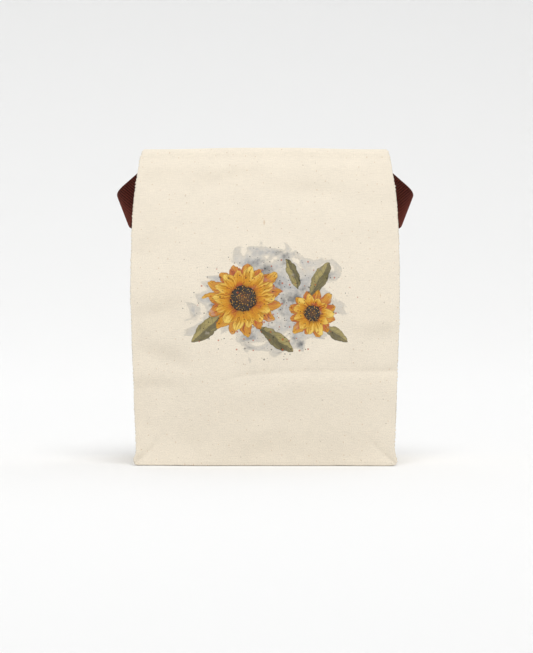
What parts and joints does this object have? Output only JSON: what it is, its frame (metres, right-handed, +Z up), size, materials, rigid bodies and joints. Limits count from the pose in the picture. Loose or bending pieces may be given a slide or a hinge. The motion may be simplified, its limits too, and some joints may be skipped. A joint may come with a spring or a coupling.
{
  "type": "lunch bag",
  "caption": "Canvas lunch bag sewn like a paper sack, with pleated sides, a top folded over to the back, and a webbing strap that loops round the fold and fastens on a ring.",
  "frame": {"origin": "on the floor under the middle of the base", "axes": "+Z up, +Y towards the back of the bag, where the top is folded over, and +X to the right seen from the front"},
  "size_m": [0.248, 0.144, 0.2574],
  "materials": {
    "canvas": "unbleached cotton canvas, plain weave with slubs and seed flecks",
    "webbing": "dark brown ribbed webbing",
    "ring_steel": "satin nickel-plated steel"
  },
  "bodies": {
    "root": {"base_panel": "canvas", "front_panel": "canvas", "back_panel": "canvas", "left_gusset": "canvas", "right_gusset": "canvas", "left_strap": "webbing", "right_strap": "webbing", "strap_ring": "ring_steel"}
  },
  "joints": []
}
